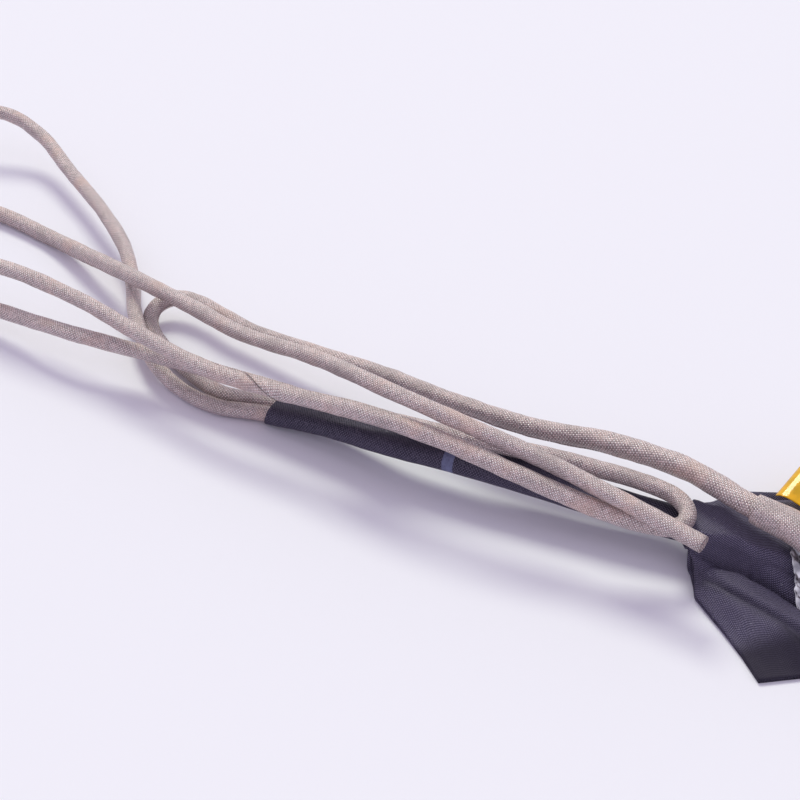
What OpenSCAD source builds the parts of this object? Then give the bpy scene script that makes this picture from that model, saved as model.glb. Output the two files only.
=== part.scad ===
// Folded display cable: two cloth-wrapped strands, taped together, with a plug at each end.
// Millimetres, +Z up, lying on z = 0, long axis along X, origin at the middle of the footprint.

/* [Strands] */
// Diameter of the thin strand
thin_d = 2; // [1.8:0.1:2.7]
// Diameter of the main strand where its cloth is wrapped once
main_d = 2; // [1.8:0.1:2.7]
// Diameter of the main strand where its cloth is wrapped twice
main_twice_d = 2.7; // [2.4:0.1:3.5]
// Wall of the third cloth wrap at the display end
overwrap_t = 0.3; // [0.2:0.05:0.5]

/* [Black sleeve] */
// Wall of the black tape sleeve round both strands
sleeve_t = 0.15; // [0.1:0.05:0.3]

/* [Wide tape] */
// Width of the wide black tape, from its folded edge to its tail
tape_w = 24; // [20:1:30]
// Length of the wide black tape, along its folded edge
tape_l = 26; // [21:1:32]
// Thickness of one layer of the wide black tape
tape_t = 0.25; // [0.15:0.05:0.3]

/* [Films] */
// Thickness of the ground foil
foil_t = 0.2; // [0.1:0.05:0.25]
// Length of the ground foil, along X
foil_l = 12; // [8:1:14]
// Thickness of the amber film
amber_t = 0.2; // [0.1:0.05:0.25]
// Length of the amber film, along X
amber_l = 17; // [12:1:20]
// Depth of the amber film, along Y
amber_w = 11; // [8:1:13]

/* [Board plug] */
// Number of columns of contacts in the board plug, in two rows
board_n = 13; // [11:1:14]
// Spacing of the board plug's contacts
board_pitch = 1.25; // [1:0.05:1.3]
// Depth of the board plug, along its mating direction
board_plug_l = 5; // [4.5:0.5:7]
// Height of the board plug's housing
board_plug_h = 2.9; // [2.8:0.1:3.6]

/* [Display plug] */
// Number of contacts in the display plug
display_n = 30; // [30:1:34]
// Spacing of the display plug's contacts
display_pitch = 0.5; // [0.42:0.02:0.54]
// Depth of the display plug, along its mating direction
display_plug_l = 4.6; // [4:0.2:6]
// Height of the display plug
display_plug_h = 1.8; // [1.6:0.1:2.4]
// Length of the tape over the display plug's wires
display_tape_l = 10; // [9:0.5:12]
// Length of the pull tab, from the display plug's shell
pull_tab_l = 9; // [6:1:11]

/* [Hidden] */

gap = 0.1;          // clearance between neighbouring pieces
cloth = "#b3a69c";
black = "#312d39";
amber = "#d9a82c";
metal = "#c3c5c9";
gold = "#cfa64a";
ivory = "#e4dfd2";

// ---- Routes. Each is a list of hand-set points along a centre line. ----

// Sleeve, from its free end on the left to its end inside the wide tape
sleeve_route = [
    [-11.2, -11.2, 1.5], [-3, -10.8, 2.9], [6.4, -10.8, 4.1], [15, -9.6, 4.5], [23.4, -8.2, 4.3],
    [32.2, -6.8, 3.9], [40.8, -5.2, 3.6], [45.4, -3.8, 3.6]
];
// Ends of the two strands inside the wide tape, beyond the sleeve
thin_inner = [[52.6, -1.6, 2.7], [49.4, -3.4, 3.2]];
main_inner = [[51, 1, 2.7], [48.2, -0.8, 3.2]];
// Thin strand after it leaves the sleeve: up into the wide arc, round the outer loop, back to the
// fold over the wide tape, round the inner loop and on to its cut end
thin_free = [
    [-17.8, -14.2, 1.2], [-24, -13.8, 1.2], [-29.6, -12, 2.5], [-36.4, -6.6, 2.9], [-42.2, 0, 2.5],
    [-47.4, 4.6, 3.4], [-55, 9.2, 3.9], [-65, 14.4, 3.9], [-73.8, 18.4, 5], [-81, 18.2, 6.6],
    [-88, 13.6, 5.8], [-92.2, 5.4, 4], [-91.2, -4, 2], [-84.6, -12, 1.2], [-74.4, -15.6, 1.3],
    [-63, -16.4, 2.6], [-51.4, -15.8, 3.6], [-39.6, -15.8, 4.8], [-28.4, -13.8, 4.7],
    [-17, -12.5, 5.3], [-6.6, -11.8, 6], [3.8, -11.2, 7.1], [14.8, -9, 7.2], [25, -6.2, 6.9],
    [33, -4.6, 6.6], [38.4, -4.2, 6.4], [41.2, -5.8, 6.5], [41.6, -8.4, 6.5], [38.9, -9.9, 6.4],
    [32.3, -11.8, 7.5], [22.8, -13, 9.1], [13.2, -13.4, 9.9], [3.6, -14, 9.8], [-7, -14.6, 8.4],
    [-17.6, -15.4, 7.9], [-28.2, -14.4, 7.9], [-39.6, -13.2, 8.4], [-51.8, -13.2, 8.6],
    [-62.2, -13.8, 6.8], [-71.4, -13.4, 3.8], [-77.8, -10.4, 1.6], [-79.8, -6.2, 1.2],
    [-76.8, -2.8, 1.9], [-74.4, 1.6, 1.2], [-69, 3.6, 1.2], [-57.6, 2.6, 1.4], [-42.6, -1.8, 4.8],
    [-29.8, -4.8, 6.6], [-17.8, -7.8, 8.2], [-6.6, -8.6, 9.8], [3.4, -10.8, 11.6],
    [13.6, -11.6, 11.9], [25.7, -10.7, 10.2], [37.7, -11, 8.9], [45.6, -11.6, 8.3]
];
// Main strand after it leaves the sleeve: round its small loop and back over the wide tape
main_free = [
    [-18.6, -11.8, 1.2], [-24.6, -10.6, 1.2], [-30, -8.6, 1.2], [-34.6, -6, 1.4],
    [-35.8, -3.2, 2.2], [-34.4, -1, 2.9], [-31, -0.4, 3.3], [-26, -1.2, 3.5],
    [-20.4, -1.8, 3.4], [-11.4, -2, 4.2], [-1.6, -2, 5], [8.4, -2.6, 5.8],
    [19, -2.6, 6.5], [29.2, -0.6, 6.9], [38.4, -0.6, 7.5], [46.4, -2.5, 7.7],
    [54, -3.8, 7.5], [61.6, -5.6, 5.6], [69, -7, 3.6], [75, -7.9, 2.4], [80, -8.4, 2]
];
// Number of last points of the main strand that the third wrap covers
overwrap_points = 6;
// Points of the free main strand before and over which it thickens
thicken_from = 11;
thicken_over = 3;

// ---- Vectors, rings and swept solids ----

function unit(v) = v / norm(v);
function mix(a, b, f) = a + (b - a) * f;
function clamp01(x) = max(0, min(1, x));
function reversed(list) = [for (i = [len(list) - 1 : -1 : 0]) list[i]];
function along(p, i) = unit(p[min(i + 1, len(p) - 1)] - p[max(i - 1, 0)]);
function side_of(t) = unit(cross([0, 0, 1], t));

// The route shifted sideways in plan by d
function beside(p, d) = [for (i = [0 : len(p) - 1]) p[i] + side_of(along(p, i)) * d];

// A cross-section [sideways, up] set square to the route at point i
function ring(p, i, profile) =
    let (t = along(p, i), s = side_of(t), u = cross(t, s))
    [for (q = profile) p[i] + s * q[0] + u * q[1]];

function round_profile(r, n = 8) = [for (k = [0 : n - 1]) r * [cos(360 * k / n), sin(360 * k / n)]];
function flat_profile(half, r, n = 6) = concat(
    [for (k = [0 : n]) [half + r * cos(-90 + 180 * k / n), r * sin(-90 + 180 * k / n)]],
    [for (k = [0 : n]) [-half + r * cos(90 + 180 * k / n), r * sin(90 + 180 * k / n)]]
);

// Side walls between successive rings of n points; turned inwards for a bore
function walls(count, n, from = 0, inward = false) = [
    for (i = [0 : count - 2], k = [0 : n - 1])
        let (a = from + i * n + k, b = from + i * n + (k + 1) % n)
        for (f = inward ? [[a, b, b + n], [a, b + n, a + n]] : [[a, a + n, b + n], [a, b + n, b]]) f
];

// Solid strand through a list of rings
module strand(rings) {
    n = len(rings[0]);
    last = (len(rings) - 1) * n;
    polyhedron(
        points = [for (r = rings, q = r) q],
        faces = concat(
            walls(len(rings), n),
            [[for (k = [0 : n - 1]) k]],
            [[for (k = [n - 1 : -1 : 0]) last + k]]
        )
    );
}

// Pipe between a list of outer rings and a list of inner rings
module pipe(outer, inner) {
    n = len(outer[0]);
    count = len(outer);
    base = count * n;
    last = (count - 1) * n;
    polyhedron(
        points = concat([for (r = outer, q = r) q], [for (r = inner, q = r) q]),
        faces = concat(
            walls(count, n),
            walls(count, n, base, true),
            [for (k = [0 : n - 1]) let (m = (k + 1) % n) for (f = [
                [k, m, base + k], [m, base + m, base + k],
                [last + k, base + last + k, last + m],
                [last + m, base + last + k, base + last + m]
            ]) f]
        )
    );
}

// ---- Strands, sleeve and third wrap ----

// Sideways places of the two strands inside the sleeve
thin_side = -(thin_d + gap) / 2;
main_side = (main_d + gap) / 2;
sleeve_core_r = max(thin_d, main_d) / 2 + gap;
sleeve_half = (main_side - thin_side) / 2;
sleeve_mid = (main_side + thin_side) / 2;

thin_route = concat(thin_inner, reversed(beside(sleeve_route, thin_side)), thin_free);
main_route = concat(main_inner, reversed(beside(sleeve_route, main_side)), main_free);
main_loop_at = len(main_route) - len(main_free) + thicken_from;

function main_dia(i) =
    main_d + (main_twice_d - main_d) * clamp01((i - main_loop_at) / thicken_over);

module thin_strand() {
    color(cloth)
        strand([for (i = [0 : len(thin_route) - 1]) ring(thin_route, i, round_profile(thin_d / 2))]);
}

module main_strand() {
    color(cloth)
        strand([for (i = [0 : len(main_route) - 1]) ring(main_route, i, round_profile(main_dia(i) / 2))]);
}

module black_sleeve() {
    outer = flat_profile(sleeve_half, sleeve_core_r + sleeve_t);
    inner = flat_profile(sleeve_half, sleeve_core_r);
    route = beside(sleeve_route, sleeve_mid);
    index = [0 : len(route) - 1];
    color(black)
        pipe([for (i = index) ring(route, i, outer)], [for (i = index) ring(route, i, inner)]);
}

overwrap_core_r = main_twice_d / 2 + gap / 2;
overwrap_r = overwrap_core_r + overwrap_t;

module cloth_overwrap() {
    index = [len(main_route) - overwrap_points : len(main_route) - 1];
    color(cloth)
        pipe(
            [for (i = index) ring(main_route, i, round_profile(overwrap_r))],
            [for (i = index) ring(main_route, i, round_profile(overwrap_core_r))]
        );
}

// ---- Tape pouches: a folded tape with a pocket, and a flat double tail beyond it ----

// A station of a pouch is [corner, across, along, edge shifts, pocket middle, its z, pocket half
// width, pocket half height, squareness, foot, width, tail z]
pocket_from = 1;    // first and last of the points across a face that bound the pocket
pocket_to = 8;

// Distances across the tape of the points of one face
function across(st, wall) = concat(
    [min(0, st[4] - st[6] - wall)],
    [for (k = [0 : pocket_to - pocket_from]) st[4] - st[6] * cos(180 * k / (pocket_to - pocket_from))],
    [(st[4] + st[6] + st[9]) / 2, st[9], st[10]]
);
// Height of the tape's middle at a distance across
function middle_z(st, t) =
    let (f = clamp01((t - st[4] - st[6]) / (st[9] - st[4] - st[6])))
    mix(st[5], st[11], f * f * (3 - 2 * f));
// Half height of the pocket at a distance across
function pocket_h(st, t) =
    st[7] * min(1, st[8] * sqrt(max(0, 1 - pow((t - st[4]) / st[6], 2))));
function placed(st, t, z) =
    let (p = st[0] + st[1] * t + st[2] * lookup(t, st[3])) [p[0], p[1], z];

// Outer top, outer bottom, pocket top and pocket bottom points of one station
function station(st, wall) =
    let (ts = across(st, wall), n = len(ts) - 1)
    concat(
        [for (t = ts) placed(st, t, middle_z(st, t) + wall + pocket_h(st, t))],
        [for (t = ts) placed(st, t, middle_z(st, t) - wall - pocket_h(st, t))],
        [for (k = [pocket_from : pocket_to])
            placed(st, ts[k], middle_z(st, ts[k]) + pocket_h(st, ts[k]))],
        [for (k = [pocket_from + 1 : pocket_to - 1])
            placed(st, ts[k], middle_z(st, ts[k]) - pocket_h(st, ts[k]))]
    );

// Quads, as triangles, joining a loop of points to the same loop one station on
function skin(loop, size, s, flip) = [
    for (i = [0 : len(loop) - 1])
        let (a = s * size + loop[i], b = s * size + loop[(i + 1) % len(loop)])
        for (f = flip ? [[a, b, b + size], [a, b + size, a + size]]
                      : [[a, a + size, b + size], [a, b + size, b]]) f
];

module pouch(stations, wall) {
    pts = [for (st = stations) station(st, wall)];
    points_across = len(across(stations[0], wall));
    size = len(pts[0]);
    count = len(pts);
    pocket_n = pocket_to - pocket_from;
    top = [for (k = [0 : points_across - 1]) k];
    bottom = [for (k = top) points_across + k];
    inner_top = [for (k = [0 : pocket_n]) 2 * points_across + k];
    inner_low = concat(
        [inner_top[0]],
        [for (k = [1 : pocket_n - 1]) inner_top[pocket_n] + k],
        [inner_top[pocket_n]]
    );
    outer = concat(top, reversed(bottom));
    inner = concat(inner_top, reversed([for (k = [1 : pocket_n - 1]) inner_low[k]]));
    end_faces = concat(
        [for (k = [0 : points_across - 2]) if (k < pocket_from || k >= pocket_to)
            let (
                a = top[k], b = bottom[k], c = bottom[k + 1], d = top[k + 1],
                near = inner_top[0], far = inner_top[pocket_n]
            )
            for (f = k + 1 == pocket_from ? [[a, b, near], [b, c, near], [a, near, d]]
                   : k == pocket_to ? [[a, far, d], [far, b, c], [far, c, d]]
                   : [[a, b, c], [a, c, d]]) f],
        [for (k = [0 : pocket_n - 1])
            let (a = top[pocket_from + k], b = top[pocket_from + k + 1])
            for (f = [[a, inner_top[k], inner_top[k + 1]], [a, inner_top[k + 1], b]]) f],
        [for (k = [0 : pocket_n - 1])
            let (a = bottom[pocket_from + k], b = bottom[pocket_from + k + 1])
            for (f = [[a, inner_low[k + 1], inner_low[k]], [a, b, inner_low[k + 1]]]) f]
    );
    polyhedron(
        points = [for (p = pts, q = p) q],
        faces = concat(
            [for (s = [0 : count - 2], f = skin(outer, size, s, false)) f],
            [for (s = [0 : count - 2], f = skin(inner, size, s, true)) f],
            [for (f = end_faces) reversed(f)],
            [for (f = end_faces) [for (v = f) (count - 1) * size + v]]
        )
    );
}

// ---- Wide tape, folded over the sleeve's end, the wires and the back of the board plug ----

tape_corner = [40.5, -1.7];     // back corner of the tape's left end
tape_turn = 40;                 // direction of its folded edge
tape_u = [cos(tape_turn), sin(tape_turn)];
tape_v = [sin(tape_turn), -cos(tape_turn)];
tape_shares = [0, 0.15, 0.3, 0.45, 0.6, 0.75, 0.88, 1];   // where its stations are
// Shape of the cut left end: how far it stands out along the tape, by distance across
tape_cut = [[0, 0], [2, -1.4], [4, -2.4], [7.5, -2.6], [11, -2.6], [16, -1], [20, 0.1], [24, 0.9]];

plug_fill = 0.88;               // share of a plug's pocket that is at its full height
board_ends = 1.75;              // width of the two ends of the board plug, beyond its contacts
board_plug_w = board_n * board_pitch + board_ends;
board_tuck = 1.2;               // how much of the board plug the tape covers
board_pocket_h = board_plug_h / 2 + gap;
board_z = tape_t + board_pocket_h;
board_pocket_w = (board_plug_w / 2 + gap) / plug_fill;
board_mid = board_pocket_w + 0.4;
board_rear = tape_corner + tape_u * (tape_l - board_tuck) + tape_v * board_mid;
sleeve_fill = 0.78;             // share of the pocket that the sleeve takes up
tape_entry_w = (sleeve_half + sleeve_core_r + sleeve_t) / sleeve_fill;
// By share of the tape's length: the pocket's middle across the tape, its height, and its foot
tape_mid = [
    [0, 2.9 - sleeve_mid], [0.15, 4.7 - sleeve_mid], [0.38, 6.5], [0.6, 8.4], [1, board_mid]
];
tape_z = [
    [0, sleeve_route[6][2]], [0.17, sleeve_route[7][2]], [0.38, 2.7], [0.6, 1.95],
    [0.85, board_z], [1, board_z]
];
tape_foot = [[0, 11], [0.35, 14], [0.6, 17], [1, board_mid + board_pocket_w + 2]];

function tape_station(f) = [
    tape_corner + tape_u * tape_l * f,
    tape_v,
    tape_u * pow(1 - f, 2),
    tape_cut,
    lookup(f, tape_mid),
    lookup(f, tape_z),
    mix(tape_entry_w, board_pocket_w, pow(clamp01(f / 0.88), 1.3)),
    mix(sleeve_core_r + sleeve_t + gap, board_pocket_h, clamp01(f / 0.8)),
    mix(1.5, 2.4, f),
    lookup(f, tape_foot),
    max(tape_w, lookup(f, tape_foot) + 0.5),
    tape_t
];
tape_stations = [for (f = tape_shares) tape_station(f)];

module wide_tape() {
    color(black) pouch(tape_stations, tape_t);
}

// Height of the wide tape's upper face over a point in plan
function top_at(k, t) =
    let (st = tape_stations[k], ts = across(st, tape_t))
    lookup(t, [for (q = ts) [q, middle_z(st, q) + tape_t + pocket_h(st, q)]]);
function tape_share(s, t, f, n) =
    n == 0 ? f : tape_share(s, t, clamp01((s - pow(1 - f, 2) * lookup(t, tape_cut)) / tape_l), n - 1);
function tape_top(x, y) =
    let (
        r = [x, y] - tape_corner,
        t = r * tape_v,
        f = tape_share(r * tape_u, t, 0.3, 6),
        k = max([for (i = [0 : len(tape_shares) - 2]) f >= tape_shares[i] ? i : 0])
    )
    mix(top_at(k, t), top_at(k + 1, t), (f - tape_shares[k]) / (tape_shares[k + 1] - tape_shares[k]));

// Highest point of the tape within a small step of a place
drape = 0.8;
film_gap = 0.3;
function over_tape(x, y) = max([for (i = [-1 : 1], j = [-1 : 1]) tape_top(x + i * drape, y + j * drape)]);

// ---- Films that lie on the wide tape ----

// Rows of [x, y, height above the tape] points, as a sheet of thickness t
module film(rows, t) {
    n = len(rows[0]);
    m = len(rows);
    low = [for (row = rows, q = row) [q[0], q[1], over_tape(q[0], q[1]) + film_gap + q[2]]];
    count = n * m;
    edge = concat(
        [for (k = [0 : n - 2]) k],
        [for (r = [0 : m - 2]) r * n + n - 1],
        [for (k = [n - 1 : -1 : 1]) (m - 1) * n + k],
        [for (r = [m - 1 : -1 : 1]) r * n]
    );
    polyhedron(
        points = concat(low, [for (q = low) q + [0, 0, t]]),
        faces = concat(
            [for (r = [0 : m - 2], k = [0 : n - 2])
                let (a = r * n + k)
                for (f = [[a, a + 1, a + n + 1], [a, a + n + 1, a + n]]) f],
            [for (r = [0 : m - 2], k = [0 : n - 2])
                let (a = count + r * n + k)
                for (f = [[a, a + n + 1, a + 1], [a, a + n, a + n + 1]]) f],
            [for (i = [0 : len(edge) - 1])
                let (a = edge[i], b = edge[(i + 1) % len(edge)])
                for (f = [[a, a + count, b], [b, a + count, b + count]]) f]
        )
    );
}

// Torn front left corner of the foil: how far each row starts to the right, by place in Y
foil_torn = [[-10, 5], [-7.7, 3.6], [-5, 2], [-2.4, 0], [-1, 0.4]];
foil_x = 52.5;
foil_rows = [-9.8, -8, -6.5, -5, -3.6, -2.4, -1.2];

module ground_foil() {
    steps = 6;
    color(metal)
        film([for (y = foil_rows)
            let (x0 = foil_x + lookup(y, foil_torn), x1 = foil_x + foil_l)
            [for (k = [0 : steps]) [mix(x0, x1, k / steps), y, 0]]], foil_t);
}

// The amber film's left end and the front edge's least Y, placed from the board plug's back
amber_x = board_rear[0] - 18.1;
amber_y = board_rear[1] - 6;
// Its front edge, by distance from the left end, how far its back is skewed, and how high its free
// back corner curls up
amber_front = [[0, 1.6], [4, 1.2], [8, 0.8], [12, 0.3], [22, 0]];
amber_skew = 0.9;
amber_curl = 1.4;

module amber_film() {
    across_n = 7;
    along_n = 7;
    color(amber)
        film([for (j = [0 : across_n])
            [for (k = [0 : along_n])
                let (
                    x = amber_l * k / along_n,
                    f = j / across_n,
                    y = amber_y + lookup(x, amber_front) + amber_w * f
                )
                [amber_x + x + amber_skew * f, y, amber_curl * f * f * pow(1 - k / along_n, 2)]]], amber_t);
}

// ---- Wires that fan out from a strand's end ----

wire_d = 0.3;
wire_grid = 0.4;
wire_gap = 0.12;                // between a wire's end and what it leads to
wire_straight = 1.3;            // straight end that enters a plug
// Places of wires in a strand's end, [sideways, up] in steps of the grid: those for the lower and
// upper row of a plug, in order of where they lead
main_low = [[-2, -1], [-2, 0], [-1, -2], [-1, -1], [0, -2], [0, -1], [1, -2], [1, -1], [1, 0], [2, -1]];
main_high = [[-2, 1], [-1, 0], [-1, 1], [-1, 2], [0, 1], [0, 2], [1, 1], [1, 2], [2, 0], [2, 1]];
thin_low = [[-1.2, -0.8], [0, -0.8], [1.2, -0.8]];
thin_high = [[-1.2, 0.8], [0, 0.8], [1.2, 0.8]];

// Curve from p, leaving along a, to q, arriving along b
function bent(p, a, q, b, f) =
    p * (2 * f * f * f - 3 * f * f + 1) + a * (f * f * f - 2 * f * f + f)
    + q * (3 * f * f - 2 * f * f * f) + b * (f * f * f - f * f);

// One wire from place g in the end of a route to the point q, arriving along b
module wire(route, at_start, g, q, b, run) {
    i = at_start ? 0 : len(route) - 1;
    t = along(route, i) * (at_start ? -1 : 1);
    s = side_of(t);
    p = route[i] + (s * g[0] + cross(t, s) * g[1]) * wire_grid;
    steps = 5;
    path = concat(
        [for (k = [0 : steps]) bent(p + t * wire_gap, t * run, q - b * wire_straight, b * run, k / steps)],
        [q - b * wire_gap]
    );
    strand([for (k = [0 : steps]) ring(path, k, round_profile(wire_d / 2, 6))]);
}

// ---- Board plug: housing, contacts in two rows, sheet-metal shell, and its wires ----

board_base = tape_t + gap;
board_row_half = 0.65;          // half of the spacing between its two rows
board_rows = [board_plug_h / 2 - board_row_half, board_plug_h / 2 + board_row_half];
board_nose = 0.8;               // how far its nose stands out
contact_from = 0.9;             // depth inside the plug at which a wire meets its contact
shell_t = 0.15;

function board_y(k) = (k - (board_n - 1) / 2) * board_pitch;
function board_point(x, y, z) =
    let (p = board_rear + tape_u * x - tape_v * y) [p[0], p[1], board_base + z];

module at_board() {
    translate([board_rear[0], board_rear[1], board_base]) rotate([0, 0, tape_turn]) children();
}

module board_wires() {
    arrive = [tape_u[0], tape_u[1], 0];
    first = max(0, floor((board_n - 13) / 2));
    run = 12;
    color(ivory) {
        for (k = [0 : min(2, board_n - 11)], row = [0, 1]) {
            place = board_point(contact_from, board_y(first + k), board_rows[row]);
            wire(thin_route, true, [thin_low, thin_high][row][k], place, arrive, run);
        }
        for (k = [0 : 9], row = [0, 1]) {
            place = board_point(contact_from, board_y(board_n - 10 - first + k), board_rows[row]);
            wire(main_route, true, [main_low, main_high][row][k], place, arrive, run);
        }
    }
}

module board_plug_housing() {
    cavity_w = board_pitch * 0.66;
    cavity_h = 0.9;
    pin_hole = 0.44;
    step_y = 0.6;
    step_z = 0.4;
    key_w = 0.4;
    key_y = board_plug_w / 2 - 0.95;
    color(ivory) at_board() difference() {
        union() {
            translate([0, -board_plug_w / 2, 0]) cube([board_plug_l, board_plug_w, board_plug_h]);
            // Stepped nose that enters the socket
            translate([board_plug_l, -board_plug_w / 2 + step_y, step_z])
                cube([board_nose, board_plug_w - 2 * step_y, board_plug_h - 2 * step_z]);
        }
        for (k = [0 : board_n - 1], z = board_rows) {
            translate([-1, board_y(k) - cavity_w / 2, z - cavity_h / 2])
                cube([board_plug_l + 0.8, cavity_w, cavity_h]);
            translate([1, board_y(k) - pin_hole / 2, z - pin_hole / 2])
                cube([board_plug_l + 2, pin_hole, pin_hole]);
        }
        // Keying slots at the two ends of the nose
        for (y = [-1, 1])
            translate([board_plug_l - 0.6, y * key_y - key_w / 2, -1])
                cube([3, key_w, board_plug_h + 2]);
    }
}

module board_plug_contacts() {
    body_l = board_plug_l - contact_from - 0.3;
    color(gold) at_board()
        for (k = [0 : board_n - 1], z = board_rows)
            translate([contact_from, board_y(k), z]) {
                // Crimp, neck and box of one contact
                translate([0, -0.25, -0.45]) cube([1, 0.5, 0.75]);
                translate([1, -0.15, -0.45]) cube([0.5, 0.3, 0.3]);
                translate([1.5, -0.3, -0.45]) cube([body_l - 1.5, 0.6, 0.8]);
            }
}

module board_plug_shell() {
    from = board_tuck + 0.4;
    length = board_plug_l - from;
    window_w = 2.4;
    color(metal) at_board() difference() {
        translate([from, -board_plug_w / 2 - shell_t, 0])
            cube([length, board_plug_w + 2 * shell_t, board_plug_h + shell_t]);
        translate([from - 1, -board_plug_w / 2, -1])
            cube([length + 2, board_plug_w, board_plug_h + 1]);
        // Windows over the housing and notches in the two sides
        for (y = [-0.3, 0, 0.3])
            translate([from + 0.8, y * board_plug_w - window_w / 2, 0])
                cube([length - 1.6, window_w, board_plug_h + 3]);
        for (y = [-1, 1])
            translate([from + length / 2 - 0.5, y * board_plug_w / 2 - 1, -1]) cube([1, 2, 2]);
    }
}

// ---- Display plug: housing, one row of contacts, shell, ground bars, wires, tape, pull tab ----

display_ends = 4;               // width of the two ends of the display plug, beyond its contacts
display_plug_w = display_n * display_pitch + display_ends;
display_turn = -4;              // direction the plug faces
display_u = [cos(display_turn), sin(display_turn)];
display_v = [sin(display_turn), -cos(display_turn)];
display_tape_t = 0.12;
display_base = display_tape_t + gap;
display_rear = [88.6, -8.2];      // middle of the housing's back
wire_z = 0.6;                   // height of the wires' row above the plug's base
tail = 0.6;                     // how far the contacts stand out behind the housing
contact_w = 0.2;                // width and thickness of a contact
contact_t = 0.12;

function display_y(k) = (k - (display_n - 1) / 2) * display_pitch;

module at_display() {
    translate([display_rear[0], display_rear[1], display_base]) rotate([0, 0, display_turn]) children();
}

module display_wires() {
    arrive = [display_u[0], display_u[1], 0];
    first = floor((display_n - 30) / 2);
    color(ivory)
        for (k = [0 : 19]) {
            // Pairs with a free contact between them
            place = first + floor(k / 2) * 3 + k % 2;
            g = k % 2 == 0 ? main_low[floor(k / 2)] : main_high[floor(k / 2)];
            p = display_rear - display_u * tail - display_v * display_y(place);
            wire(main_route, false, g, [p[0], p[1], display_base + wire_z], arrive, 6);
        }
}

module display_plug_contacts() {
    color(gold) at_display()
        for (k = [0 : display_n - 1])
            translate([-tail, display_y(k) - contact_w / 2, wire_z - contact_t]) {
                cube([display_plug_l + tail - 0.5, contact_w, contact_t]);
                cube([tail, contact_w, 0.2]);
                translate([display_plug_l + tail - 1.6, 0, contact_t]) cube([0.6, contact_w, contact_t]);
            }
}

module display_plug_housing() {
    body_w = display_plug_w - 2 * shell_t;
    groove_w = 0.26;
    groove_h = 0.34;
    color("#22211f") at_display() difference() {
        translate([0, -body_w / 2, 0]) cube([display_plug_l, body_w, display_plug_h - shell_t]);
        // Mating slot in the nose
        translate([display_plug_l - 2.4, -body_w / 2 + 1, wire_z])
            cube([4, body_w - 2, 0.5]);
        for (k = [0 : display_n - 1])
            translate([-1, display_y(k) - groove_w / 2, wire_z - contact_t])
                cube([display_plug_l + 0.5, groove_w, groove_h]);
    }
}

module display_plug_shell() {
    color(metal) at_display() difference() {
        translate([0.3, -display_plug_w / 2, 0])
            cube([display_plug_l - 0.3, display_plug_w, display_plug_h]);
        translate([-1, -display_plug_w / 2 + shell_t, -1])
            cube([display_plug_l + 3, display_plug_w - 2 * shell_t, display_plug_h - shell_t + 1]);
        for (k = [-2 : 2])
            translate([display_plug_l - 1.4, k * display_plug_w / 6 - 0.5, 0]) cube([0.8, 1, 5]);
        for (y = [-1, 1])
            translate([1.4, y * display_plug_w / 2 - 1, -1]) cube([1.2, 2, 1.6]);
    }
}

// Bars above and below the wires, just behind the contacts' tails
module display_ground_bars() {
    bar_w = (display_n - 1) * display_pitch + 1;
    bar_t = 0.16;
    bar_gap = 0.04;
    color(metal) at_display()
        for (z = [wire_z - wire_d / 2 - bar_gap - bar_t, wire_z + wire_d / 2 + bar_gap])
            translate([-tail - 0.9, -bar_w / 2, z]) cube([0.7, bar_w, bar_t]);
}

strand_fill = 0.74;             // share of the tape's pocket that the strand takes up at its start
display_start_half = overwrap_r + 2 * gap;

// The tape's folded edge stays straight, its seam spreads with the wires
function display_station(f) =
    let (
        half = mix(display_start_half, display_plug_h / 2 + gap, clamp01(f / 0.9)),
        width = mix(half / strand_fill, (display_plug_w / 2 + gap) / plug_fill, pow(clamp01(f / 0.7), 1.2)),
        edge = width + display_tape_t,
        corner = display_rear + display_u * (1 - display_tape_l * (1 - f)) - display_v * edge
    )
    [
        corner, display_v, [0, 0], [[0, 0], [1, 0]],
        edge, display_tape_t + half, width, half, mix(1.5, 2.4, f),
        2 * width + 0.5, 2 * width + 1, display_tape_t + half
    ];

module display_tape() {
    color(black) pouch([for (f = [0, 0.18, 0.36, 0.54, 0.7, 0.88, 1]) display_station(f)], display_tape_t);
}

module display_pull_tab() {
    // Top of the display tape's start, above the plug's shell
    over = 2 * (display_start_half + display_tape_t) - display_base - display_plug_h;
    profile = [
        [display_plug_l - 0.6, 0], [1.7, 0], [0.9, 0.5], [-2, 1.3],
        [-pull_tab_l + 3, over + 0.08], [-pull_tab_l, over + 0.88]
    ];
    tab_t = 0.12;
    tab_w = 12;
    color("#dfe6ea") at_display()
        translate([0, tab_w / 2, display_plug_h]) rotate([90, 0, 0])
            linear_extrude(tab_w)
                polygon(concat(profile, [for (q = reversed(profile)) q + [0, tab_t]]));
}

thin_strand();
main_strand();
black_sleeve();
cloth_overwrap();
wide_tape();
ground_foil();
amber_film();
board_wires();
board_plug_housing();
board_plug_contacts();
board_plug_shell();
display_wires();
display_tape();
display_plug_housing();
display_plug_contacts();
display_plug_shell();
display_ground_bars();
display_pull_tab();
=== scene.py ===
"""A folded display cable: two cloth-wrapped strands, taped together, with a plug at each end.

Lengths are in metres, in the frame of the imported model: +Z up, lying on z = 0.
"""

import math

import bmesh
import bpy
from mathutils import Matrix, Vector, kdtree, noise


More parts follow.
